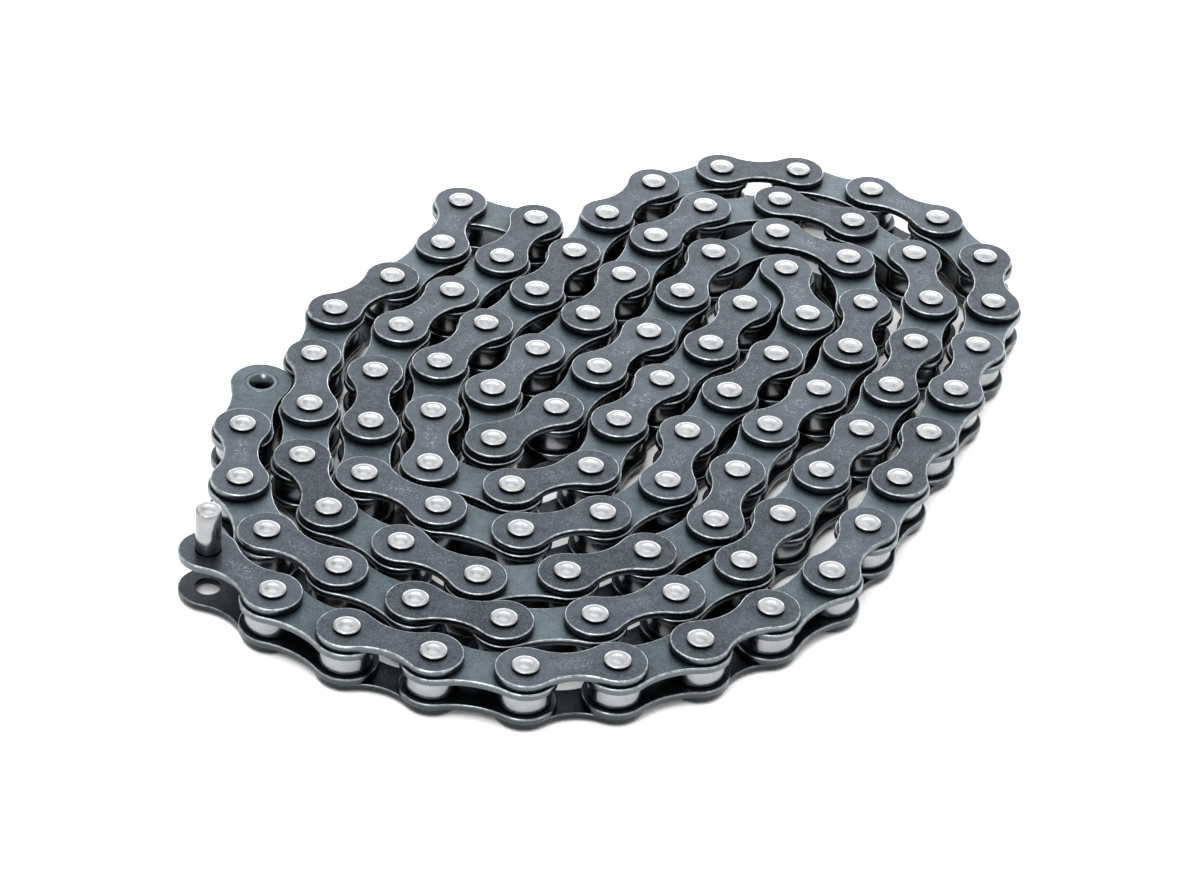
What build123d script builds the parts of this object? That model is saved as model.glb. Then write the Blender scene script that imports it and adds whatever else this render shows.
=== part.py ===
"""Half-inch roller chain of 100 links, lying on its side in a loose coil, joint not yet closed.

Frame: +X right, +Y away from the front of the coil, +Z up. The chain lies on the lower ends of
its pins, and the origin is on that surface, in the middle of the box round the link plates.
Links are counted from the end with the loose connecting pin. Odd links are outer links, two
plates on two pins. Even links are inner links, two plates on two bushes with a roller on each.
"""
import os
from math import cos, radians, sin

from build123d import *

# Chain sizes, mm
PITCH = 12.7
INNER_WIDTH = 3.3
ROLLER_RADIUS = 3.875
PIN_RADIUS = 1.83
PIN_HEAD_SPREAD = 0.1
BUSH_RADIUS = 2.5
INNER_PLATE_THICKNESS = 1.05
OUTER_PLATE_THICKNESS = 1.1
INNER_END_RADIUS = 4.65
INNER_WAIST = 3.45
OUTER_END_RADIUS = 4.25
OUTER_WAIST = 2.47
PIN_STANDOUT = 0.6
PIN_FLAT_RADIUS = 0.9
PIN_DOME_HEIGHT = 0.26
PLATE_EDGE = 0.16
ROLLER_EDGE = 0.2
BUSH_EDGE = 0.1

# Clearances, mm
PIN_IN_BUSH = 0.03
ROLLER_ON_BUSH = 0.07
ROLLER_SIDE_PLAY = 0.1
PLATE_SIDE_PLAY = 0.1
CONNECTING_PIN_FIT = 0.015

# The connecting pin is started in the upper plate and shows this far below it
PIN_START = 0.7

# How the chain lies: the heading of link 1, then the turn at each joint, left positive, degrees
FIRST_HEADING = -38
FRONT_EDGE = (8, 14, 10, 19, 16, 12, 7, 18)
RIGHT_EDGE = (2, 1, 1, 3, 4, 17, 32, 22, 14)
BACK_RIGHT_LOBE = (24, 24, 26, 13, -3, -10)
INNERMOST_RUN = (5, 30, 2, 71, 45, 45)
MIDDLE_RUN = (-12, -6, 11, -7, -134, -38)
MIDDLE_RETURN = (-11, 5, 17, -34, -19, -43, -11, -60)
LEFT_RUN = (1, -15, -21, 0, 12, 97, 96, -25)
LEFT_RETURN = (-5, 30, 12, -2, 22, 36)
FRONT_RETURN = (3, 39, 18, 12, 35, -8, -14, 13, 11)
RIGHT_FOLD = (23, 52, 63, 32, -1, -12, 7, -16, -132)
CENTRE_RUN = (-33, -6, 11, 2, -16, -35, -38, -19)
SECOND_RING = (-40, -23, -6, -3, -7, 2, 1, -22, -13, -18, -23, -16, -4)
LEFT_TAIL = (-34, -19, -11)
TURNS = (
    FRONT_EDGE + RIGHT_EDGE + BACK_RIGHT_LOBE + INNERMOST_RUN + MIDDLE_RUN + MIDDLE_RETURN
    + LEFT_RUN + LEFT_RETURN + FRONT_RETURN + RIGHT_FOLD + CENTRE_RUN + SECOND_RING + LEFT_TAIL
)

# Links that swing at the two free ends of the coil
FIRST_COILED = 14
LAST_COILED = 97
LINK_COUNT = len(TURNS) + 1

# Sizes that follow
PIN_HEAD_RADIUS = PIN_RADIUS + PIN_HEAD_SPREAD
BUSH_BORE_RADIUS = PIN_RADIUS + PIN_IN_BUSH
ROLLER_BORE_RADIUS = BUSH_RADIUS + ROLLER_ON_BUSH
ROLLER_LENGTH = INNER_WIDTH - 2 * ROLLER_SIDE_PLAY
BUSH_LENGTH = INNER_WIDTH + 2 * INNER_PLATE_THICKNESS
OUTER_WIDTH = BUSH_LENGTH + 2 * PLATE_SIDE_PLAY
PIN_LENGTH = OUTER_WIDTH + 2 * OUTER_PLATE_THICKNESS + 2 * PIN_STANDOUT
PIN_DRIVE_TRAVEL = OUTER_WIDTH + OUTER_PLATE_THICKNESS + PIN_STANDOUT - PIN_START
MIDDLE = PIN_LENGTH / 2
INNER_UPPER = MIDDLE + (INNER_WIDTH + INNER_PLATE_THICKNESS) / 2
INNER_LOWER = MIDDLE - (INNER_WIDTH + INNER_PLATE_THICKNESS) / 2
OUTER_UPPER = MIDDLE + (OUTER_WIDTH + OUTER_PLATE_THICKNESS) / 2
OUTER_LOWER = MIDDLE - (OUTER_WIDTH + OUTER_PLATE_THICKNESS) / 2


def headings():
    """Heading of each link, degrees, from link 1 to the last."""
    heading = FIRST_HEADING
    result = [heading]
    for turn in TURNS:
        heading += turn
        result.append(heading)
    return result


def joint_centres():
    """Centre of each joint, from the loose pin to the open bush, with the coil on the origin."""
    x, y = 0.0, 0.0
    walk = [(x, y)]
    for heading in headings():
        x += PITCH * cos(radians(heading))
        y += PITCH * sin(radians(heading))
        walk.append((x, y))
    reach = [OUTER_END_RADIUS] + [INNER_END_RADIUS] * LINK_COUNT
    middle = []
    for axis in (0, 1):
        low = min(point[axis] - size for point, size in zip(walk, reach))
        high = max(point[axis] + size for point, size in zip(walk, reach))
        middle.append((low + high) / 2)
    return [(x - middle[0], y - middle[1]) for x, y in walk]


HEADINGS = headings()
JOINTS = joint_centres()


def link_place(link, height):
    """Where the middle of a link is, at a height, turned along the link."""
    near, far = JOINTS[link - 1], JOINTS[link]
    centre = ((near[0] + far[0]) / 2, (near[1] + far[1]) / 2, height)
    return Location(centre, (0, 0, HEADINGS[link - 1]))


def joint_place(joint, height):
    """Where a joint's axis is, at a height."""
    return Location((*JOINTS[joint], height))


def outline(end_radius, waist):
    """Edge of a link plate: two round ends joined by hollow sides that run tangent into them."""
    half = PITCH / 2
    hollow = (half**2 + waist**2 - end_radius**2) / (2 * (end_radius - waist))
    share = end_radius / (end_radius + hollow)
    x = half * (1 - share)
    y = (waist + hollow) * share
    ThreePointArc((-x, y), (0, waist), (x, y))
    ThreePointArc((x, y), (half + end_radius, 0), (x, -y))
    ThreePointArc((x, -y), (0, -waist), (-x, -y))
    ThreePointArc((-x, -y), (-half - end_radius, 0), (-x, y))


def link_plate(end_radius, waist, thickness, near_hole, far_hole):
    """A link plate centred on the origin, its near hole on -X and its far hole on +X."""
    with BuildPart() as plate:
        with BuildSketch(Plane.XY.offset(-thickness / 2)):
            with BuildLine():
                outline(end_radius, waist)
            make_face()
        extrude(amount=thickness)
        rims = plate.edges().group_by(Axis.Z)
        chamfer(rims[0] + rims[-1], PLATE_EDGE)
        with Locations((-PITCH / 2, 0)):
            Hole(near_hole)
        with Locations((PITCH / 2, 0)):
            Hole(far_hole)
    return plate.part


def link_pin(side):
    """A pin with low domed ends, flat in the middle where it stands.

    The side is the list of points down the upper half of its outline, from under the dome.
    """
    half = PIN_LENGTH / 2
    with BuildPart() as pin:
        with BuildSketch(Plane.XZ):
            with BuildLine():
                Line((0, 0), (0, half))
                Line((0, half), (PIN_FLAT_RADIUS, half))
                TangentArc((PIN_FLAT_RADIUS, half), side[0], tangent=(1, 0))
                Polyline(*side)
                Line(side[-1], (0, 0))
            make_face()
        revolve(axis=Axis.Z)
        mirror(about=Plane.XY)
    return pin.part


def riveted_pin():
    """A pin whose ends are spread to heads, down to the outer faces of the plates."""
    shoulder = PIN_LENGTH / 2 - PIN_DOME_HEIGHT
    seat = PIN_LENGTH / 2 - PIN_STANDOUT
    side = [(PIN_HEAD_RADIUS, shoulder), (PIN_HEAD_RADIUS, seat), (PIN_RADIUS, seat), (PIN_RADIUS, 0)]
    return link_pin(side)


def plain_pin():
    """The connecting pin, which isn't riveted yet."""
    return link_pin([(PIN_RADIUS, PIN_LENGTH / 2 - PIN_DOME_HEIGHT), (PIN_RADIUS, 0)])


def tube(outer_radius, bore_radius, length, edge):
    """A short tube on the Z axis with its outer rims broken."""
    with BuildPart() as sleeve:
        Cylinder(outer_radius, length)
        rims = sleeve.edges().filter_by(GeomType.CIRCLE)
        chamfer(rims, edge)
        Hole(bore_radius)
    return sleeve.part


def place_copies(piece, places):
    """One node's group: separate copies of a piece at each place."""
    with BuildPart() as group:
        with Locations(*places):
            add(piece)
    return group.part


def save(shape, name):
    """Write one node."""
    shape.label = name
    export_step(shape, f"parts/{name}.step")


INNER_PLATE = link_plate(INNER_END_RADIUS, INNER_WAIST, INNER_PLATE_THICKNESS, BUSH_RADIUS, BUSH_RADIUS)
OUTER_PLATE = link_plate(OUTER_END_RADIUS, OUTER_WAIST, OUTER_PLATE_THICKNESS, PIN_RADIUS, PIN_RADIUS)
CONNECTING_PLATE = link_plate(
    OUTER_END_RADIUS, OUTER_WAIST, OUTER_PLATE_THICKNESS, PIN_RADIUS + CONNECTING_PIN_FIT, PIN_RADIUS
)
PIN = riveted_pin()
CONNECTING_PIN = plain_pin()
BUSH = tube(BUSH_RADIUS, BUSH_BORE_RADIUS, BUSH_LENGTH, BUSH_EDGE)
ROLLER = tube(ROLLER_RADIUS, ROLLER_BORE_RADIUS, ROLLER_LENGTH, ROLLER_EDGE)


def write_coil():
    """The links that lie still in the middle of the chain, seven nodes."""
    coiled = range(FIRST_COILED, LAST_COILED + 1)
    inner = [link for link in coiled if link % 2 == 0]
    outer = [link for link in coiled if link % 2 == 1]
    bush_joints = [joint for link in inner for joint in (link - 1, link)]
    pin_joints = [joint for link in outer for joint in (link - 1, link)]
    groups = {
        "coil_inner_plates_upper": (INNER_PLATE, [link_place(link, INNER_UPPER) for link in inner]),
        "coil_inner_plates_lower": (INNER_PLATE, [link_place(link, INNER_LOWER) for link in inner]),
        "coil_bushes": (BUSH, [joint_place(joint, MIDDLE) for joint in bush_joints]),
        "coil_rollers": (ROLLER, [joint_place(joint, MIDDLE) for joint in bush_joints]),
        "coil_outer_plates_upper": (OUTER_PLATE, [link_place(link, OUTER_UPPER) for link in outer]),
        "coil_outer_plates_lower": (OUTER_PLATE, [link_place(link, OUTER_LOWER) for link in outer]),
        "coil_pins": (PIN, [joint_place(joint, MIDDLE) for joint in pin_joints]),
    }
    for name, (piece, places) in groups.items():
        save(place_copies(piece, places), name)


def write_inner_link(link):
    """A free inner link: its plates, its bushes and a roller on each bush."""
    name = f"link_{link:02d}"
    plates = [link_place(link, INNER_UPPER), link_place(link, INNER_LOWER)]
    ends = [joint_place(link - 1, MIDDLE), joint_place(link, MIDDLE)]
    save(place_copies(INNER_PLATE, plates), f"{name}_plates")
    save(place_copies(BUSH, ends), f"{name}_bushes")
    save(place_copies(ROLLER, ends[:1]), f"{name}_roller_a")
    save(place_copies(ROLLER, ends[1:]), f"{name}_roller_b")


def write_outer_link(link):
    """A free outer link: its plates and the two pins pressed into them."""
    name = f"link_{link:02d}"
    plates = [link_place(link, OUTER_UPPER), link_place(link, OUTER_LOWER)]
    ends = [joint_place(link - 1, MIDDLE), joint_place(link, MIDDLE)]
    save(place_copies(OUTER_PLATE, plates), f"{name}_plates")
    save(place_copies(PIN, ends), f"{name}_pins")


def write_connecting_link():
    """Link 1: its far pin is pressed home, and its near pin is only started in the upper plate."""
    save(place_copies(CONNECTING_PLATE, [link_place(1, OUTER_UPPER)]), "connecting_plate_upper")
    save(place_copies(CONNECTING_PLATE, [link_place(1, OUTER_LOWER)]), "connecting_plate_lower")
    save(place_copies(PIN, [joint_place(1, MIDDLE)]), "connecting_link_fixed_pin")
    save(place_copies(CONNECTING_PIN, [joint_place(0, MIDDLE + PIN_DRIVE_TRAVEL)]), "connecting_pin")


os.makedirs("parts", exist_ok=True)
write_coil()
write_connecting_link()
for free_link in [*range(2, FIRST_COILED), *range(LAST_COILED + 1, LINK_COUNT + 1)]:
    if free_link % 2 == 0:
        write_inner_link(free_link)
    else:
        write_outer_link(free_link)
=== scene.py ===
"""Looks of a half-inch roller chain that lies on its side in a loose coil, its ends not yet joined.

Every size is in millimetres and becomes metres as a piece is placed. The links are counted from
the end with the loose connecting pin. Odd links are outer links, two plates on two pins. Even
links are inner links, two plates on two bushes with a roller on each bush.
"""
import logging
import math
from dataclasses import dataclass
from enum import Enum
from typing import Iterable

import bmesh
import bpy
from mathutils import Matrix, Vector


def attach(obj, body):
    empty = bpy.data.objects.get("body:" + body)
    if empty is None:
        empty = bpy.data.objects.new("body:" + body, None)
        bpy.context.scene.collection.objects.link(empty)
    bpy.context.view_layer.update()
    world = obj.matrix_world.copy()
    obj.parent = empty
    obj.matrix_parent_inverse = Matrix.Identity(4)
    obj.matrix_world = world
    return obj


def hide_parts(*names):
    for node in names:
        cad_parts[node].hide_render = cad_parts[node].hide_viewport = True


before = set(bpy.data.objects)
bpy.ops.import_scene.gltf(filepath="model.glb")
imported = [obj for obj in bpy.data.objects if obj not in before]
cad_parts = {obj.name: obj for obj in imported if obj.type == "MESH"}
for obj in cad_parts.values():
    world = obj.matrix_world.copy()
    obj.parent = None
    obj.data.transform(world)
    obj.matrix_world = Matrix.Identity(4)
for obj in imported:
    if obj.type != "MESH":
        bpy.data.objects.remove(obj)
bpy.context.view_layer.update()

LOG = logging.getLogger("chain")

Colour = tuple[float, float, float]
Span = tuple[float, float]
Socket = bpy.types.NodeSocket

MM = 0.001
# Corners nearer to each other than this, in millimetres, become one.
MERGE_DISTANCE = 0.001
# How far a computed height may be off, in millimetres.
TOLERANCE = 0.01
# How far each joint's pin, bush and roller are turned on from the last one's, in degrees.
JOINT_TWIST = 37.0
# The golden ratio's step, which spreads the copies' seeds evenly from 0 to 1.
SEED_STEP = 0.618034
# The size of the upright part of a normal under which a face counts as steep.
STEEP_LIMIT = 0.5
# The Mix node's sockets for the share, the two colours and their mixture.
MIX_SHARE, MIX_COLOURS, MIX_RESULT = 0, (6, 7), 2


class LinkKind(Enum):
    """The two sorts of link, which alternate."""

    OUTER = "outer"
    INNER = "inner"


class Level(Enum):
    """Which of a link's two plates: the sign of its height over the chain's middle."""

    UPPER = 1
    LOWER = -1


@dataclass(frozen=True)
class ChainSizes:
    """The sizes that every link shares, in millimetres."""

    pitch: float = 12.7
    inner_width: float = 3.3
    roller_radius: float = 3.875
    pin_radius: float = 1.83
    pin_head_radius: float = 1.93
    bush_radius: float = 2.5
    inner_plate: float = 1.05
    outer_plate: float = 1.1
    inner_end_radius: float = 4.65
    inner_waist: float = 3.45
    outer_end_radius: float = 4.25
    outer_waist: float = 2.47
    pin_standout: float = 0.6
    pin_in_bush: float = 0.03
    roller_on_bush: float = 0.07
    roller_side_play: float = 0.1
    plate_side_play: float = 0.1
    connecting_pin_fit: float = 0.015
    pin_start: float = 0.7

    @property
    def bush_length(self) -> float:
        """Length of a bush, flush with the outsides of its plates."""
        return self.inner_width + 2 * self.inner_plate

    @property
    def outer_width(self) -> float:
        """Room between an outer link's plates."""
        return self.bush_length + 2 * self.plate_side_play

    @property
    def pin_length(self) -> float:
        """Length of a pin over its riveted ends."""
        return self.outer_width + 2 * self.outer_plate + 2 * self.pin_standout

    @property
    def middle(self) -> float:
        """Height of the chain's middle plane over what it lies on."""
        return self.pin_length / 2

    @property
    def pin_travel(self) -> float:
        """How far the connecting pin still has to be driven."""
        return self.outer_width + self.outer_plate + self.pin_standout - self.pin_start

    def plate_height(self, kind: LinkKind, level: Level) -> float:
        """Height of the middle of a plate.

        Args:
            kind: Whether the plate is on an inner or an outer link.
            level: Whether it is the link's upper or lower plate.

        Returns:
            The height over what the chain lies on.
        """
        if kind is LinkKind.INNER:
            reach = (self.inner_width + self.inner_plate) / 2
        else:
            reach = (self.outer_width + self.outer_plate) / 2
        return self.middle + level.value * reach


SIZES = ChainSizes()


@dataclass(frozen=True)
class Lay:
    """How the chain lies: the heading of its first link and the turn at each joint, in degrees."""

    first_heading: int = -38
    front_edge: tuple[int, ...] = (8, 14, 10, 19, 16, 12, 7, 18)
    right_edge: tuple[int, ...] = (2, 1, 1, 3, 4, 17, 32, 22, 14)
    back_right_lobe: tuple[int, ...] = (24, 24, 26, 13, -3, -10)
    innermost_run: tuple[int, ...] = (5, 30, 2, 71, 45, 45)
    middle_run: tuple[int, ...] = (-12, -6, 11, -7, -134, -38)
    middle_return: tuple[int, ...] = (-11, 5, 17, -34, -19, -43, -11, -60)
    left_run: tuple[int, ...] = (1, -15, -21, 0, 12, 97, 96, -25)
    left_return: tuple[int, ...] = (-5, 30, 12, -2, 22, 36)
    front_return: tuple[int, ...] = (3, 39, 18, 12, 35, -8, -14, 13, 11)
    right_fold: tuple[int, ...] = (23, 52, 63, 32, -1, -12, 7, -16, -132)
    centre_run: tuple[int, ...] = (-33, -6, 11, 2, -16, -35, -38, -19)
    second_ring: tuple[int, ...] = (-40, -23, -6, -3, -7, 2, 1, -22, -13, -18, -23, -16, -4)
    left_tail: tuple[int, ...] = (-34, -19, -11)

    def headings(self) -> list[int]:
        """Heading of each link from link 1 on, in degrees."""
        turns = (
            self.front_edge + self.right_edge + self.back_right_lobe + self.innermost_run
            + self.middle_run + self.middle_return + self.left_run + self.left_return
            + self.front_return + self.right_fold + self.centre_run + self.second_ring
            + self.left_tail
        )
        result = [self.first_heading]
        for turn in turns:
            result.append(result[-1] + turn)
        return result

    def joints(self) -> list[Vector]:
        """Centre of each joint in plan, from the loose pin to the open bush, coil on the origin."""
        walk = [Vector((0.0, 0.0))]
        for heading in self.headings():
            angle = math.radians(heading)
            walk.append(walk[-1] + SIZES.pitch * Vector((math.cos(angle), math.sin(angle))))
        reaches = [SIZES.outer_end_radius] + [SIZES.inner_end_radius] * (len(walk) - 1)
        middle = Vector((0.0, 0.0))
        for axis in (0, 1):
            low = min(point[axis] - reach for point, reach in zip(walk, reaches))
            high = max(point[axis] + reach for point, reach in zip(walk, reaches))
            middle[axis] = (low + high) / 2
        return [point - middle for point in walk]


LAY = Lay()
HEADINGS = LAY.headings()
JOINTS = LAY.joints()


def link_place(link: int, height: float) -> Matrix:
    """Where the middle of a link is.

    Args:
        link: The link's number.
        height: Its height over what the chain lies on.

    Returns:
        A matrix that turns and moves a link made on the origin.
    """
    centre = (JOINTS[link - 1] + JOINTS[link]) / 2
    turn = Matrix.Rotation(math.radians(HEADINGS[link - 1]), 4, "Z")
    return Matrix.Translation((centre.x, centre.y, height)) @ turn


def joint_place(joint: int, height: float) -> Matrix:
    """Where a joint's axis is.

    Args:
        joint: The joint's number, 0 for the loose pin.
        height: Its height over what the chain lies on.

    Returns:
        A matrix that moves a piece made on the origin. Pins, bushes and rollers are each turned
        a little differently, as they are on a real chain.
    """
    turn = Matrix.Rotation(math.radians(JOINT_TWIST * joint), 4, "Z")
    return Matrix.Translation((JOINTS[joint].x, JOINTS[joint].y, height)) @ turn


# ---------------------------------------------------------------------------------- finishes


class NodeSheet:
    """A material's node tree, with short ways to add nodes and links."""

    def __init__(self, name: str) -> None:
        """Start a material with an empty tree.

        Args:
            name: The material's name.
        """
        self.material = bpy.data.materials.new(name)
        self.material.use_nodes = True
        self.tree = self.material.node_tree
        self.tree.nodes.clear()
        self.shader = self.add("ShaderNodeBsdfPrincipled")
        output = self.add("ShaderNodeOutputMaterial")
        self.join(self.shader.outputs["BSDF"], output.inputs["Surface"])

    def add(self, kind: str, **settings: object) -> bpy.types.Node:
        """Add a node.

        Args:
            kind: The node's type name.
            **settings: Properties of the node.

        Returns:
            The new node.
        """
        node = self.tree.nodes.new(kind)
        for key, value in settings.items():
            setattr(node, key, value)
        return node

    def join(self, output: Socket, socket: Socket) -> None:
        """Link an output to an input.

        Args:
            output: Where the value comes from.
            socket: Where it goes.
        """
        self.tree.links.new(output, socket)

    def place(self, scale: tuple[float, float, float] = (1.0, 1.0, 1.0)) -> Socket:
        """Object coordinates in millimetres, stretched.

        Args:
            scale: The stretch along each axis, per millimetre.

        Returns:
            The vector output.
        """
        coordinates = self.add("ShaderNodeTexCoord")
        mapping = self.add("ShaderNodeMapping")
        mapping.inputs["Scale"].default_value = [value / MM for value in scale]
        self.join(coordinates.outputs["Object"], mapping.inputs["Vector"])
        return mapping.outputs["Vector"]

    def noise(
        self, vector: Socket, scale: float, detail: float, roughness: float,
        shift: Socket | None = None,
    ) -> Socket:
        """Soft noise.

        Args:
            vector: Where it is read.
            scale: Its fineness.
            detail: How many finer layers it has.
            roughness: How strong those are.
            shift: A value that makes each copy's noise different.

        Returns:
            The value output, about 0.5 on average.
        """
        node = self.add("ShaderNodeTexNoise", noise_dimensions="4D" if shift else "3D")
        node.inputs["Scale"].default_value = scale
        node.inputs["Detail"].default_value = detail
        node.inputs["Roughness"].default_value = roughness
        self.join(vector, node.inputs["Vector"])
        if shift:
            self.join(shift, node.inputs["W"])
        return node.outputs["Fac"]

    def ramp(
        self, value: Socket, low: float, high: float,
        to_low: float = 0.0, to_high: float = 1.0,
    ) -> Socket:
        """Stretch a stretch of values onto another, clamped.

        Args:
            value: The value to change.
            low: What becomes to_low.
            high: What becomes to_high.
            to_low: The new low end.
            to_high: The new high end.

        Returns:
            The value output.
        """
        node = self.add("ShaderNodeMapRange", clamp=True)
        ends = {"From Min": low, "From Max": high, "To Min": to_low, "To Max": to_high}
        for name, number in ends.items():
            node.inputs[name].default_value = number
        self.join(value, node.inputs["Value"])
        return node.outputs["Result"]

    def maths(self, operation: str, first: Socket, second: Socket | float) -> Socket:
        """One sum on two values.

        Args:
            operation: The operation's name.
            first: The first value.
            second: The second value or number.

        Returns:
            The value output.
        """
        node = self.add("ShaderNodeMath", operation=operation)
        self.join(first, node.inputs[0])
        if isinstance(second, (int, float)):
            node.inputs[1].default_value = second
        else:
            self.join(second, node.inputs[1])
        return node.outputs["Value"]

    def blend(self, share: Socket, first: Socket | Colour, second: Socket | Colour) -> Socket:
        """Mix two colours.

        Args:
            share: How much of the second colour there is.
            first: A colour, or an output that gives one.
            second: A colour, or an output that gives one.

        Returns:
            The colour output.
        """
        node = self.add("ShaderNodeMix", data_type="RGBA")
        self.join(share, node.inputs[MIX_SHARE])
        for index, colour in zip(MIX_COLOURS, (first, second)):
            if isinstance(colour, tuple):
                node.inputs[index].default_value = (*colour, 1.0)
            else:
                self.join(colour, node.inputs[index])
        return node.outputs[MIX_RESULT]

    def attribute(self, name: str) -> Socket:
        """A value that the mesh carries.

        Args:
            name: The attribute's name.

        Returns:
            The value output.
        """
        return self.add("ShaderNodeAttribute", attribute_name=name).outputs["Fac"]

    def openness(self, reach: float, low: float, high: float, samples: int = 4) -> Socket:
        """How open the surface lies. The finishes darken the colour where it is low, as painted
        shade in gaps and crevices.

        Args:
            reach: How far off other surfaces still count, in millimetres.
            low: The openness under which the painted shade is full.
            high: The openness over which there is none.
            samples: How many rays look round.

        Returns:
            The value output, 1 in the open.
        """
        node = self.add("ShaderNodeAmbientOcclusion", samples=samples)
        node.inputs["Distance"].default_value = reach * MM
        return self.ramp(node.outputs["AO"], low, high)

    def bump(self, height: Socket, strength: float, distance: float) -> None:
        """Raise the surface by a value.

        Args:
            height: The value.
            strength: How strongly it shows.
            distance: How high it is, in millimetres.
        """
        node = self.add("ShaderNodeBump")
        node.inputs["Strength"].default_value = strength
        node.inputs["Distance"].default_value = distance * MM
        self.join(height, node.inputs["Height"])
        self.join(node.outputs["Normal"], self.shader.inputs["Normal"])


@dataclass(frozen=True)
class PlateFinish:
    """Heat-treated plate steel: dark, satin and speckled, with rims lightened partly by rubbing and
    partly as a painted highlight, neatly cut sides, and painted shade in gaps and towards the
    bottom.

    Sizes are in millimetres and scales per millimetre. A span is the low and the high end of a
    range of values, most of them read from noise of about 0.5.
    """

    slot: str
    dark: Colour
    light: Colour
    speckle: Colour
    stamped: bool = False
    side: Colour = (0.095, 0.112, 0.12)
    # Light colour of the upper rims, partly rubbed steel and partly a painted highlight; the
    # stamped scuffs use it too.
    worn_and_highlight: Colour = (0.36, 0.39, 0.41)
    # Near-black painted shade, laid on in gaps and crevices and towards the bottom.
    painted_shade: Colour = (0.008, 0.009, 0.01)
    painted_shade_below: float = 0.9
    unshaded_above: float = 4.2
    lowest_unshaded_share: float = 0.35
    shade_reach: float = 4.0
    shade_span: Span = (0.3, 0.92)
    cloud_scale: float = 0.13
    cloud_share: float = 0.4
    mottle_scale: float = 0.8
    grain_scale: float = 3.6
    seed_tone: Span = (-0.1, 0.1)
    tone_span: Span = (0.34, 0.66)
    speckle_span: Span = (0.5, 0.72)
    speckle_share: float = 0.8
    rim_wear_and_highlight_span: Span = (0.36, 0.64)
    least_rim_wear_and_highlight: float = 0.25
    relief: float = 0.25
    relief_height: float = 0.03
    rough: Span = (0.3, 0.46)
    rough_scale: float = 1.2
    rough_span: Span = (0.32, 0.68)
    side_rough: float = 0.27
    scuff_half_length: float = 3.3
    scuff_half_width: float = 1.5
    scuff_fade: Span = (0.3, 1.2)
    scuff_seeds: Span = (0.2, 0.9)
    scuff_strength: Span = (0.06, 0.34)
    flecks_along: float = 3.4
    flecks_across: float = 2.6
    fleck_span: Span = (0.52, 0.62)
    fleck_shift: float = 40.0

    def material(self) -> bpy.types.Material:
        """Make the material."""
        sheet = NodeSheet(self.slot)
        seed = sheet.attribute("seed")
        rim = sheet.attribute("rim")
        side = sheet.attribute("side")
        place = sheet.place()
        mottle = sheet.noise(place, self.mottle_scale, 5.0, 0.75)
        grain = sheet.noise(place, self.grain_scale, 4.0, 0.75)
        colour, height = self.face_colour(sheet, place, seed, mottle, grain)
        colour = sheet.blend(side, colour, self.side)
        # Upper rims lightened in patches, partly rubbed steel and partly a painted highlight.
        rim_wear_and_highlight = sheet.ramp(mottle, *self.rim_wear_and_highlight_span, self.least_rim_wear_and_highlight, 1.0)
        colour = sheet.blend(sheet.maths("MULTIPLY", rim, rim_wear_and_highlight), colour, self.worn_and_highlight)
        # Painted shade: the colour goes to near black in gaps and towards the bottom.
        colour = sheet.blend(self.unshaded_mask(sheet, place), self.painted_shade, colour)
        sheet.join(colour, sheet.shader.inputs["Base Color"])
        patches = sheet.noise(place, self.rough_scale, 4.0, 0.65)
        rough = sheet.ramp(patches, *self.rough_span, *self.rough)
        edge = sheet.maths("MAXIMUM", rim, side)
        flat = sheet.maths("MULTIPLY", rough, sheet.ramp(edge, 0.0, 1.0, 1.0, 0.0))
        rough = sheet.maths("ADD", flat, sheet.maths("MULTIPLY", edge, self.side_rough))
        sheet.join(rough, sheet.shader.inputs["Roughness"])
        sheet.shader.inputs["Metallic"].default_value = 1.0
        sheet.bump(height, self.relief, self.relief_height)
        return sheet.material

    def face_colour(
        self, sheet: NodeSheet, place: Socket, seed: Socket, mottle: Socket, grain: Socket,
    ) -> tuple[Socket, Socket]:
        """Colour and relief of a plate's flat faces.

        Args:
            sheet: The material's tree.
            place: Where the noise is read.
            seed: The value that differs from plate to plate.
            mottle: The middling noise.
            grain: The fine noise.

        Returns:
            The colour output and the height output.
        """
        cloud = sheet.noise(place, self.cloud_scale, 3.0, 0.55)
        tone = sheet.maths(
            "ADD", sheet.maths("MULTIPLY", cloud, self.cloud_share),
            sheet.maths("MULTIPLY", mottle, 1.0 - self.cloud_share),
        )
        tone = sheet.maths("ADD", tone, sheet.ramp(seed, 0.0, 1.0, *self.seed_tone))
        colour = sheet.blend(sheet.ramp(tone, *self.tone_span), self.dark, self.light)
        speckle = sheet.ramp(grain, *self.speckle_span, 0.0, self.speckle_share)
        colour = sheet.blend(speckle, colour, self.speckle)
        if not self.stamped:
            return colour, grain
        strength = sheet.ramp(seed, *self.scuff_seeds, *self.scuff_strength)
        mark = sheet.maths("MULTIPLY", self.scuff_mask(sheet, seed), strength)
        return sheet.blend(mark, colour, self.worn_and_highlight), sheet.maths("SUBTRACT", grain, mark)

    def unshaded_mask(self, sheet: NodeSheet, place: Socket) -> Socket:
        """Where no painted shade is laid on: high up and in the open.

        Args:
            sheet: The material's tree.
            place: Object coordinates in millimetres.

        Returns:
            A mask, 1 where there is no painted shade.
        """
        split = sheet.add("ShaderNodeSeparateXYZ")
        sheet.join(place, split.inputs["Vector"])
        high = sheet.ramp(
            split.outputs["Z"], self.painted_shade_below, self.unshaded_above, self.lowest_unshaded_share, 1.0
        )
        return sheet.maths("MULTIPLY", sheet.openness(self.shade_reach, *self.shade_span), high)

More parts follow.
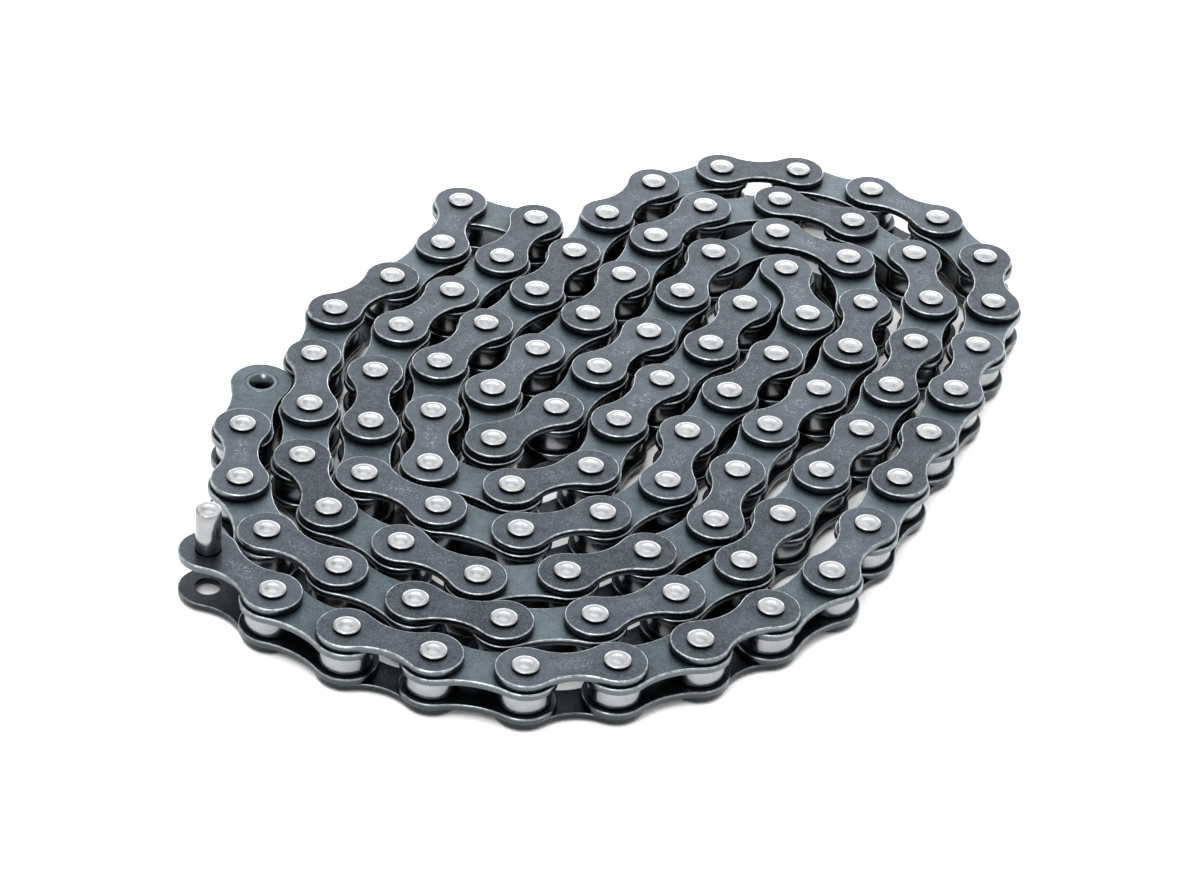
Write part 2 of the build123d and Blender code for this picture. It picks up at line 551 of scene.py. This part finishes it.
    def scuff_mask(self, sheet: NodeSheet, seed: Socket) -> Socket:
        """Fine rubbed flecks on the narrow middle of a plate, different on each one.

        Args:
            sheet: The material's tree.
            seed: The value that differs from plate to plate.

        Returns:
            A mask, 1 on a fleck.
        """
        coordinates = sheet.add("ShaderNodeUVMap", uv_map="link")
        split = sheet.add("ShaderNodeSeparateXYZ")
        sheet.join(coordinates.outputs["UV"], split.inputs["Vector"])
        along, across = (
            sheet.maths("MULTIPLY", sheet.maths("SUBTRACT", split.outputs[axis], 0.5), SIZES.pitch)
            for axis in ("X", "Y")
        )
        square = sheet.maths(
            "ADD",
            sheet.maths("POWER", sheet.maths("DIVIDE", along, self.scuff_half_length), 2.0),
            sheet.maths("POWER", sheet.maths("DIVIDE", across, self.scuff_half_width), 2.0),
        )
        inside = sheet.ramp(square, *self.scuff_fade, 1.0, 0.0)
        spot = sheet.add("ShaderNodeCombineXYZ")
        sheet.join(sheet.maths("MULTIPLY", along, self.flecks_along), spot.inputs["X"])
        sheet.join(sheet.maths("MULTIPLY", across, self.flecks_across), spot.inputs["Y"])
        shift = sheet.maths("MULTIPLY", seed, self.fleck_shift)
        fleck = sheet.noise(spot.outputs["Vector"], 1.0, 3.0, 0.7, shift)
        return sheet.maths("MULTIPLY", sheet.ramp(fleck, *self.fleck_span), inside)


@dataclass(frozen=True)
class BrightFinish:
    """Ground steel: pale and smooth, with fine marks round its axis, painted shade on the steep
    sides of a pin's heads and painted shade in gaps.
    """

    slot: str
    light: Colour
    shade: Colour
    # Near-black painted shade on the steep sides of a pin's heads.
    neck_shade: Colour = (0.015, 0.016, 0.018)
    # Near-black painted shade for gaps and crevices.
    painted_shade: Colour = (0.012, 0.012, 0.012)
    shade_reach: float = 4.0
    shade_span: Span = (0.35, 0.72)
    patch_scale: float = 0.35
    patch_share: float = 0.8
    speck_scale: float = 3.5
    tone_span: Span = (0.36, 0.64)
    rough: Span = (0.18, 0.26)
    rough_span: Span = (0.3, 0.7)
    lines_per_mm: float = 9.0
    lines_stretch: float = 0.3
    lines_strength: float = 0.05
    lines_height: float = 0.02

    def material(self) -> bpy.types.Material:
        """Make the material."""
        sheet = NodeSheet(self.slot)
        place = sheet.place()
        patch = sheet.noise(place, self.patch_scale, 2.0, 0.5)
        speck = sheet.noise(place, self.speck_scale, 2.0, 0.5)
        tone = sheet.maths(
            "ADD", sheet.maths("MULTIPLY", patch, self.patch_share),
            sheet.maths("MULTIPLY", speck, 1.0 - self.patch_share),
        )
        colour = sheet.blend(sheet.ramp(tone, *self.tone_span), self.shade, self.light)
        # Painted shade on the steep sides of a pin's heads.
        colour = sheet.blend(sheet.attribute("side"), colour, self.neck_shade)
        # Painted shade: near black where the surface lies deep in gaps.
        unshaded = sheet.openness(self.shade_reach, *self.shade_span)
        sheet.join(sheet.blend(unshaded, self.painted_shade, colour), sheet.shader.inputs["Base Color"])
        rough = sheet.ramp(speck, *self.rough_span, *self.rough)
        sheet.join(rough, sheet.shader.inputs["Roughness"])
        sheet.shader.inputs["Metallic"].default_value = 1.0
        stretched = sheet.place((self.lines_stretch, self.lines_stretch, self.lines_per_mm))
        lines = sheet.noise(stretched, 1.0, 2.0, 0.5)
        sheet.bump(lines, self.lines_strength, self.lines_height)
        return sheet.material


@dataclass(frozen=True)
class SurfaceFinish:
    """The plain pale surface that the chain lies on."""

    name: str = "pale_surface"
    colour: Colour = (0.96, 0.96, 0.96)
    paler_by: float = 0.02
    cloud_scale: float = 0.01
    rough: float = 0.6
    specular: float = 0.2

    def material(self) -> bpy.types.Material:
        """Make the material."""
        sheet = NodeSheet(self.name)
        tone = sheet.noise(sheet.place((self.cloud_scale,) * 3), 1.0, 2.0, 0.5)
        paler = tuple(min(1.0, value + self.paler_by) for value in self.colour)
        sheet.join(sheet.blend(tone, self.colour, paler), sheet.shader.inputs["Base Color"])
        sheet.shader.inputs["Roughness"].default_value = self.rough
        sheet.shader.inputs["Specular IOR Level"].default_value = self.specular
        return sheet.material


OUTER_STEEL = PlateFinish(
    "outer_plate_steel", dark=(0.019, 0.0235, 0.031), light=(0.054, 0.064, 0.078),
    speckle=(0.104, 0.118, 0.136), stamped=True,
)
INNER_STEEL = PlateFinish(
    "inner_plate_steel", dark=(0.032, 0.045, 0.054), light=(0.078, 0.1, 0.117),
    speckle=(0.14, 0.17, 0.187),
)
PIN_STEEL = BrightFinish("pin_steel", (0.295, 0.302, 0.307), (0.25, 0.256, 0.263))
BUSH_STEEL = BrightFinish("bush_steel", (0.105, 0.13, 0.145), (0.08, 0.1, 0.112))
ROLLER_STEEL = BrightFinish("roller_steel", (0.29, 0.294, 0.302), (0.24, 0.248, 0.256))


# ------------------------------------------------------------------------------------ shapes


def sharp_edges(shape: bmesh.types.BMesh, limit: float = 0.6) -> list[bmesh.types.BMEdge]:
    """Edges whose two faces meet at more than a given angle.

    Args:
        shape: The mesh.
        limit: The angle, in radians.

    Returns:
        The edges.
    """
    return [
        edge for edge in shape.edges
        if len(edge.link_faces) == 2 and edge.calc_face_angle() > limit
    ]


def is_steep(face: bmesh.types.BMFace) -> bool:
    """Whether a face stands upright, as a side or a bore does.

    Args:
        face: The face.

    Returns:
        True if it is over 60 degrees from level.
    """
    return abs(face.normal.z) < STEEP_LIMIT


def merge_corners(shape: bmesh.types.BMesh) -> None:
    """Make corners that lie on each other one.

    Args:
        shape: The mesh.
    """
    bmesh.ops.remove_doubles(shape, verts=shape.verts[:], dist=MERGE_DISTANCE)


def mirror_all(shape: bmesh.types.BMesh, axis: str) -> None:
    """Add a mirrored copy of everything in a mesh.

    Args:
        shape: The mesh.
        axis: The axis along which it is mirrored.
    """
    bmesh.ops.mirror(
        shape, geom=shape.verts[:] + shape.edges[:], matrix=Matrix.Identity(4),
        merge_dist=MERGE_DISTANCE, axis=axis,
    )


def turn_round(shape: bmesh.types.BMesh, steps: int) -> None:
    """Turn a half section round the Z axis to make a closed body.

    Args:
        shape: The mesh with the half section.
        steps: How many faces go round.
    """
    bmesh.ops.spin(
        shape, geom=shape.verts[:] + shape.edges[:], cent=(0, 0, 0), axis=(0, 0, 1),
        dvec=(0, 0, 0), angle=math.tau, steps=steps, use_merge=True, use_duplicate=False,
    )
    merge_corners(shape)
    bmesh.ops.recalc_face_normals(shape, faces=shape.faces[:])


def round_edges(
    shape: bmesh.types.BMesh, edges: Iterable[bmesh.types.BMEdge], size: float, steps: int,
    burnished_and_highlit: bool = True,
) -> None:
    """Round some edges, smooth the new faces and mark them as rims, lightened partly as rubbed
    steel and partly as a painted highlight, or as sides.

    Args:
        shape: The mesh.
        edges: The edges. Those that an earlier rounding took away are left out.
        size: How far the rounding reaches.
        steps: How many faces it has.
        burnished_and_highlit: Whether the new faces are rims, which get the lighter rim colour with
            its painted highlight, or sides.
    """
    left = [edge for edge in edges if edge.is_valid]
    made = bmesh.ops.bevel(
        shape, geom=left, offset=size, offset_type="OFFSET", affect="EDGES", segments=steps,
        profile=0.5, material=-1, clamp_overlap=True,
    )
    rim = shape.faces.layers.float["rim"]
    side = shape.faces.layers.float["side"]
    for face in made["faces"]:
        face.smooth = True
        face[rim] = 1.0 if burnished_and_highlit else 0.0
        face[side] = 0.0 if burnished_and_highlit else 1.0


def start_shape() -> bmesh.types.BMesh:
    """An empty mesh with the values that the finishes read."""
    shape = bmesh.new()
    shape.faces.layers.float.new("seed")
    shape.faces.layers.float.new("rim")
    shape.faces.layers.float.new("side")
    shape.loops.layers.uv.new("link")
    return shape


@dataclass(frozen=True)
class PlateShape:
    """A link plate: two round ends joined by hollow sides, with a hole at each end."""

    end_radius: float
    waist: float
    thickness: float
    near_hole: float
    far_hole: float
    edge: float = 0.21
    edge_steps: int = 3
    under_edge: float = 0.1
    hole_edge: float = 0.06
    hole_reach: float = 0.1
    end_steps: int = 10
    hollow_steps: int = 4
    hole_steps: int = 28

    def build(self) -> bmesh.types.BMesh:
        """Make the plate round the origin, its near hole on -X."""
        shape = start_shape()
        self.draw_outline(shape)
        half = SIZES.pitch / 2
        for centre, radius in ((-half, self.near_hole), (half, self.far_hole)):
            place = Matrix.Translation((centre, 0, 0))
            bmesh.ops.create_circle(
                shape, segments=self.hole_steps, radius=radius, matrix=place
            )
        bmesh.ops.triangle_fill(
            shape, use_beauty=True, edges=shape.edges[:], normal=(0, 0, 1)
        )
        bmesh.ops.recalc_face_normals(shape, faces=shape.faces[:])
        bmesh.ops.solidify(shape, geom=shape.faces[:], thickness=self.thickness)
        heights = [vertex.co.z for vertex in shape.verts]
        drop = (min(heights) + max(heights)) / 2
        bmesh.ops.translate(shape, verts=shape.verts[:], vec=(0, 0, -drop))
        bmesh.ops.recalc_face_normals(shape, faces=shape.faces[:])
        side = shape.faces.layers.float["side"]
        for face in shape.faces:
            face.smooth = is_steep(face)
            face[side] = 1.0 if face.smooth else 0.0
        rims = sharp_edges(shape)
        holes = [edge for edge in rims if self.at_hole(edge)]
        outside = [edge for edge in rims if not self.at_hole(edge)]
        upper = [edge for edge in outside if edge.verts[0].co.z > 0]
        lower = [edge for edge in outside if edge.verts[0].co.z < 0]
        # Upper rims get the lighter rim colour, partly rubbed steel and partly painted highlight;
        # lower rims and bores count as sides.
        round_edges(shape, upper, self.edge, self.edge_steps)
        round_edges(shape, lower, self.under_edge, 1, burnished_and_highlit=False)
        round_edges(shape, holes, self.hole_edge, 1, burnished_and_highlit=False)
        self.lay_flat_map(shape)
        return shape

    def draw_outline(self, shape: bmesh.types.BMesh) -> None:
        """Draw the plate's edge: a quarter of it by two spins, then mirrored both ways.

        Args:
            shape: The mesh to draw in.
        """
        half = SIZES.pitch / 2
        hollow_radius = (half**2 + self.waist**2 - self.end_radius**2) / (
            2 * (self.end_radius - self.waist)
        )
        above = self.waist + hollow_radius
        start = shape.verts.new((0, self.waist, 0))
        made = bmesh.ops.spin(
            shape, geom=[start], cent=(0, above, 0), axis=(0, 0, 1), dvec=(0, 0, 0),
            angle=math.atan2(half, above), steps=self.hollow_steps, use_duplicate=False,
        )
        bmesh.ops.spin(
            shape, geom=made["geom_last"], cent=(half, 0, 0), axis=(0, 0, 1), dvec=(0, 0, 0),
            angle=-math.atan2(above, -half), steps=self.end_steps, use_duplicate=False,
        )
        for axis in ("X", "Y"):
            mirror_all(shape, axis)
        merge_corners(shape)

    def at_hole(self, edge: bmesh.types.BMEdge) -> bool:
        """Whether an edge is on the rim of one of the plate's holes.

        Args:
            edge: An edge of the finished outline.

        Returns:
            True if both its ends are near a hole's circle.
        """
        half = SIZES.pitch / 2
        reach = max(self.near_hole, self.far_hole) + self.hole_reach
        return all(
            math.hypot(abs(vertex.co.x) - half, vertex.co.y) < reach for vertex in edge.verts
        )

    @staticmethod
    def lay_flat_map(shape: bmesh.types.BMesh) -> None:
        """Give every corner its place on the plate as its map, one pitch to a unit.

        Args:
            shape: The finished plate.
        """
        uv = shape.loops.layers.uv["link"]
        for face in shape.faces:
            for loop in face.loops:
                loop[uv].uv = [loop.vert.co[axis] / SIZES.pitch + 0.5 for axis in (0, 1)]


@dataclass(frozen=True)
class PinShape:
    """A pin with low domed ends. Riveting leaves a ring round each crown and spreads its rim."""

    radius: float
    length: float
    head_radius: float
    standout: float
    crown: tuple[tuple[float, float], ...] = (
        (0.0, 0.0), (0.35, 0.012), (0.7, 0.05), (0.98, 0.1), (1.18, 0.125), (1.4, 0.115),
        (1.6, 0.12),
    )
    rim_drop: float = 0.16
    shoulder: float = 0.24
    steps: int = 28

    def build(self) -> bmesh.types.BMesh:
        """Make the pin on the Z axis, round the origin."""
        shape = start_shape()
        half = self.length / 2
        seat = half - self.standout
        line = [(reach, half - drop) for reach, drop in self.crown]
        line.append(((line[-1][0] + 2 * self.head_radius) / 3, half - self.rim_drop))
        line.append((self.head_radius, half - self.shoulder))
        has_head = self.head_radius > self.radius
        if has_head:
            line += [(self.head_radius, seat), (self.radius, seat)]
        line.append((self.radius, 0.0))
        corners = [shape.verts.new((reach, 0, height)) for reach, height in line]
        for first, second in zip(corners, corners[1:]):
            shape.edges.new((first, second))
        mirror_all(shape, "Z")
        turn_round(shape, self.steps)
        side = shape.faces.layers.float["side"]
        for face in shape.faces:
            height = abs(face.calc_center_median().z)
            at_head = seat - TOLERANCE < height < half - self.shoulder + TOLERANCE
            face.smooth = True
            # The heads' steep sides are marked for painted shade.
            face[side] = 1.0 if has_head and at_head and is_steep(face) else 0.0
        return shape


@dataclass(frozen=True)
class TubeShape:
    """A short tube, a bush or a roller, with rounded outer rims."""

    radius: float
    bore: float
    length: float
    edge: float
    edge_steps: int
    steps: int

    def build(self) -> bmesh.types.BMesh:
        """Make the tube on the Z axis, round the origin."""
        shape = start_shape()
        half = self.length / 2
        line = ((self.bore, -half), (self.radius, -half), (self.radius, half), (self.bore, half))
        corners = [shape.verts.new((reach, 0, height)) for reach, height in line]
        for first, second in zip(corners, corners[1:] + corners[:1]):
            shape.edges.new((first, second))
        turn_round(shape, self.steps)
        for face in shape.faces:
            face.smooth = is_steep(face)
        middle = (self.radius + self.bore) / 2
        rims = [
            edge for edge in sharp_edges(shape)
            if all(math.hypot(vertex.co.x, vertex.co.y) > middle for vertex in edge.verts)
        ]
        round_edges(shape, rims, self.edge, self.edge_steps)
        return shape


OUTER_PLATE = PlateShape(
    SIZES.outer_end_radius, SIZES.outer_waist, SIZES.outer_plate, SIZES.pin_radius,
    SIZES.pin_radius,
)
INNER_PLATE = PlateShape(
    SIZES.inner_end_radius, SIZES.inner_waist, SIZES.inner_plate, SIZES.bush_radius,
    SIZES.bush_radius,
)
CONNECTING_PLATE = PlateShape(
    SIZES.outer_end_radius, SIZES.outer_waist, SIZES.outer_plate,
    SIZES.pin_radius + SIZES.connecting_pin_fit, SIZES.pin_radius,
)
PIN = PinShape(SIZES.pin_radius, SIZES.pin_length, SIZES.pin_head_radius, SIZES.pin_standout)
LOOSE_PIN = PinShape(SIZES.pin_radius, SIZES.pin_length, SIZES.pin_radius, SIZES.pin_standout)
BUSH = TubeShape(
    SIZES.bush_radius, SIZES.pin_radius + SIZES.pin_in_bush, SIZES.bush_length,
    edge=0.1, edge_steps=1, steps=28,
)
ROLLER = TubeShape(
    SIZES.roller_radius, SIZES.bush_radius + SIZES.roller_on_bush,
    SIZES.inner_width - 2 * SIZES.roller_side_play, edge=0.28, edge_steps=3, steps=36,
)

AnyShape = PlateShape | PinShape | TubeShape
AnyFinish = PlateFinish | BrightFinish
Places = list[tuple[int, Matrix]]


class Workshop:
    """Keeps one mesh of each shape and one material of each finish, and makes pieces from them."""

    def __init__(self) -> None:
        """Start with nothing made."""
        self.patterns: dict[AnyShape, bpy.types.Mesh] = {}
        self.materials: dict[str, bpy.types.Material] = {}

    def pattern(self, shape: AnyShape) -> bpy.types.Mesh:
        """The mesh of a shape, in millimetres round the origin.

        Args:
            shape: The shape.

        Returns:
            The mesh, made the first time it is asked for.
        """
        if shape not in self.patterns:
            made = shape.build()
            mesh = bpy.data.meshes.new(f"pattern_{len(self.patterns)}")
            made.to_mesh(mesh)
            made.free()
            self.patterns[shape] = mesh
        return self.patterns[shape]

    def paint(self, finish: AnyFinish) -> bpy.types.Material:
        """The material of a finish.

        Args:
            finish: The finish.

        Returns:
            The material, made the first time it is asked for.
        """
        if finish.slot not in self.materials:
            self.materials[finish.slot] = finish.material()
        return self.materials[finish.slot]

    def piece(
        self, node: str, body: str, shape: AnyShape, finish: AnyFinish, places: Places,
    ) -> bpy.types.Object:
        """Copies of one shape as one piece, which stands for one node of the frame.

        Args:
            node: The node that it stands for.
            body: The body that it rides on.
            shape: What is copied.
            finish: What it is made of.
            places: For each copy, a number that tells it from the others and its place.

        Returns:
            The piece.
        """
        pattern = self.pattern(shape)
        group = start_shape()
        seed = group.faces.layers.float["seed"]
        for number, place in places:
            first_vertex, first_face = len(group.verts), len(group.faces)
            group.from_mesh(pattern)
            group.verts.ensure_lookup_table()
            group.faces.ensure_lookup_table()
            bmesh.ops.transform(group, matrix=place, verts=group.verts[first_vertex:])
            for face in group.faces[first_face:]:
                face[seed] = (number * SEED_STEP) % 1.0
        bmesh.ops.scale(group, vec=(MM, MM, MM), verts=group.verts[:])
        mesh = bpy.data.meshes.new(f"{node}_finished")
        group.to_mesh(mesh)
        group.free()
        piece = bpy.data.objects.new(f"{node}_finished", mesh)
        bpy.context.scene.collection.objects.link(piece)
        mesh.materials.append(self.paint(finish))
        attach(piece, body)
        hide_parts(node)
        triangles = sum(len(face.vertices) - 2 for face in mesh.polygons)
        LOG.info("%s: %d triangles", piece.name, triangles)
        return piece


# -------------------------------------------------------------------------------- assemblies


def link_kind(link: int) -> LinkKind:
    """Whether a link is an inner or an outer one.

    Args:
        link: The link's number.

    Returns:
        Its kind: odd links are outer ones.
    """
    return LinkKind.OUTER if link % 2 else LinkKind.INNER


def plate_places(links: Iterable[int], kind: LinkKind, level: Level) -> Places:
    """Number and place of one plate of each link.

    Args:
        links: The links' numbers.
        kind: Whether they are inner or outer links.
        level: Which of the two plates.

    Returns:
        One pair for each plate.
    """
    height = SIZES.plate_height(kind, level)
    return [(2 * link + (level is Level.UPPER), link_place(link, height)) for link in links]


def joint_places(joints: Iterable[int], height: float = SIZES.middle) -> Places:
    """Number and place of what stands on each joint's axis.

    Args:
        joints: The joints' numbers.
        height: The height of its middle.

    Returns:
        One pair for each joint.
    """
    return [(joint, joint_place(joint, height)) for joint in joints]


@dataclass(frozen=True)
class Coil:
    """The links that lie still in the middle of the chain."""

    first: int = 14
    last: int = 97
    body: str = "coil"

    def links(self, kind: LinkKind) -> list[int]:
        """Numbers of the inner or the outer links.

        Args:
            kind: Which of the two.

        Returns:
            The numbers, the coil's first link first.
        """
        return [link for link in range(self.first, self.last + 1) if link_kind(link) is kind]

    def ends(self, kind: LinkKind) -> list[int]:
        """Numbers of the joints at both ends of each inner or outer link.

        Args:
            kind: Which of the two.

        Returns:
            Two joints for each link.
        """
        return [joint for link in self.links(kind) for joint in (link - 1, link)]

    def build(self, shop: Workshop) -> None:
        """Make the coil's seven pieces.

        Args:
            shop: Where they are made.
        """
        for kind, shape, finish in (
            (LinkKind.INNER, INNER_PLATE, INNER_STEEL),
            (LinkKind.OUTER, OUTER_PLATE, OUTER_STEEL),
        ):
            for level in Level:
                node = f"coil_{kind.value}_plates_{level.name.lower()}"
                places = plate_places(self.links(kind), kind, level)
                shop.piece(node, self.body, shape, finish, places)
        inner_ends = joint_places(self.ends(LinkKind.INNER))
        outer_ends = joint_places(self.ends(LinkKind.OUTER))
        shop.piece("coil_bushes", self.body, BUSH, BUSH_STEEL, inner_ends)
        shop.piece("coil_rollers", self.body, ROLLER, ROLLER_STEEL, inner_ends)
        shop.piece("coil_pins", self.body, PIN, PIN_STEEL, outer_ends)


@dataclass(frozen=True)
class FreeLink:
    """A link that swings at one of the coil's free ends."""

    number: int

    @property
    def name(self) -> str:
        """The link's name, which is its body's too."""
        return f"link_{self.number:02d}"

    @property
    def kind(self) -> LinkKind:
        """Whether it is an inner or an outer link."""
        return link_kind(self.number)

    def build(self, shop: Workshop) -> None:
        """Make the link's pieces.

        Args:
            shop: Where they are made.
        """
        plates = [
            place for level in Level for place in plate_places([self.number], self.kind, level)
        ]
        ends = joint_places([self.number - 1, self.number])
        if self.kind is LinkKind.OUTER:
            shop.piece(f"{self.name}_plates", self.name, OUTER_PLATE, OUTER_STEEL, plates)
            shop.piece(f"{self.name}_pins", self.name, PIN, PIN_STEEL, ends)
            return
        shop.piece(f"{self.name}_plates", self.name, INNER_PLATE, INNER_STEEL, plates)
        shop.piece(f"{self.name}_bushes", self.name, BUSH, BUSH_STEEL, ends)
        for letter, end in zip("ab", ends):
            roller = f"{self.name}_roller_{letter}"
            shop.piece(roller, roller, ROLLER, ROLLER_STEEL, [end])


@dataclass(frozen=True)
class ConnectingLink:
    """Link 1, whose near pin is only started in its upper plate."""

    number: int = 1
    body: str = "connecting_link"
    pin_body: str = "connecting_pin"

    def build(self, shop: Workshop) -> None:
        """Make the link's pieces and its loose pin.

        Args:
            shop: Where they are made.
        """
        for level in Level:
            places = plate_places([self.number], LinkKind.OUTER, level)
            node = f"connecting_plate_{level.name.lower()}"
            shop.piece(node, self.body, CONNECTING_PLATE, OUTER_STEEL, places)
        fixed = joint_places([self.number])
        shop.piece("connecting_link_fixed_pin", self.body, PIN, PIN_STEEL, fixed)
        standing = joint_places([self.number - 1], SIZES.middle + SIZES.pin_travel)
        shop.piece("connecting_pin", self.pin_body, LOOSE_PIN, PIN_STEEL, standing)


# ------------------------------------------------------------------------------------ studio


@dataclass(frozen=True)
class AreaLight:
    """A soft light."""

    name: str
    place: tuple[float, float, float]
    size: tuple[float, float]
    power: float

    def build(self) -> None:
        """Make the light, in metres, aimed at the middle of the chain."""
        lamp = bpy.data.lights.new(self.name, "AREA")
        lamp.shape = "RECTANGLE"
        lamp.size, lamp.size_y = self.size
        lamp.energy = self.power
        light = bpy.data.objects.new(self.name, lamp)
        light.location = self.place
        light.rotation_euler = (-Vector(self.place)).to_track_quat("-Z", "Y").to_euler()
        bpy.context.scene.collection.objects.link(light)


@dataclass(frozen=True)
class Studio:
    """A pale surface, soft light and the camera.

    The surface, the lights and the nearest distance are in metres, angles in degrees, the
    camera's place, its lens and its sensor in millimetres.
    """

    surface_size: float = 6.0
    sky: float = 1.25
    lights: tuple[AreaLight, ...] = (
        AreaLight("overhead_light", (-0.15, 0.1, 1.8), (2.4, 2.0), 26.0),
        AreaLight("front_light", (-0.25, -0.75, 1.0), (0.5, 0.35), 7.5),
        AreaLight("back_light", (0.1, 1.06, 0.74), (0.8, 0.5), 1.2),
        AreaLight("low_back_light", (0.0, 1.25, 0.45), (1.4, 0.3), 6.5),
    )
    camera_place: tuple[float, float, float] = (-3.48, -433.55, 320.56)
    look_down: float = 36.66
    lean: float = 5.24
    lens: float = 106.67
    sensor: float = 36.0
    nearest: float = 0.01

    def build(self) -> None:
        """Make the surface, the lights and the camera."""
        self.build_surface()
        self.build_sky()
        for light in self.lights:
            light.build()
        self.build_camera()
        bpy.context.scene.view_settings.view_transform = "Standard"

    def build_surface(self) -> None:
        """Make the surface that the chain lies on."""
        shape = bmesh.new()
        bmesh.ops.create_grid(shape, x_segments=1, y_segments=1, size=self.surface_size / 2)
        mesh = bpy.data.meshes.new("surface")
        shape.to_mesh(mesh)
        shape.free()
        mesh.materials.append(SurfaceFinish().material())
        surface = bpy.data.objects.new("surface", mesh)
        bpy.context.scene.collection.objects.link(surface)

    def build_sky(self) -> None:
        """Light everything evenly from all round."""
        world = bpy.data.worlds.new("sky")
        world.use_nodes = True
        background = world.node_tree.nodes["Background"]
        background.inputs["Color"].default_value = (1.0, 1.0, 1.0, 1.0)
        background.inputs["Strength"].default_value = self.sky
        bpy.context.scene.world = world

    def build_camera(self) -> None:
        """Set the camera, which looks along +Y, down at the chain, and leans a little."""
        lens = bpy.data.cameras.new("camera")
        lens.lens = self.lens
        lens.sensor_width = self.sensor
        lens.sensor_fit = "HORIZONTAL"
        lens.clip_start = self.nearest
        camera = bpy.data.objects.new("camera", lens)
        tilt = Matrix.Rotation(math.radians(90.0 - self.look_down), 4, "X")
        lean = Matrix.Rotation(math.radians(self.lean), 4, "Z")
        place = Matrix.Translation(Vector(self.camera_place) * MM)
        camera.matrix_world = place @ tilt @ lean
        bpy.context.scene.collection.objects.link(camera)
        bpy.context.scene.camera = camera


def main() -> None:
    """Build the chain from its coil out to its two ends, then the studio."""
    logging.basicConfig(level=logging.INFO, format="%(name)s: %(message)s")
    shop = Workshop()
    coil = Coil()
    coil.build(shop)
    connecting_link = ConnectingLink()
    near_end = range(coil.first - 1, connecting_link.number, -1)
    far_end = range(coil.last + 1, len(HEADINGS) + 1)
    for number in (*near_end, *far_end):
        FreeLink(number).build(shop)
    connecting_link.build(shop)
    for mesh in shop.patterns.values():
        bpy.data.meshes.remove(mesh)
    Studio().build()


if __name__ == "__main__":
    main()
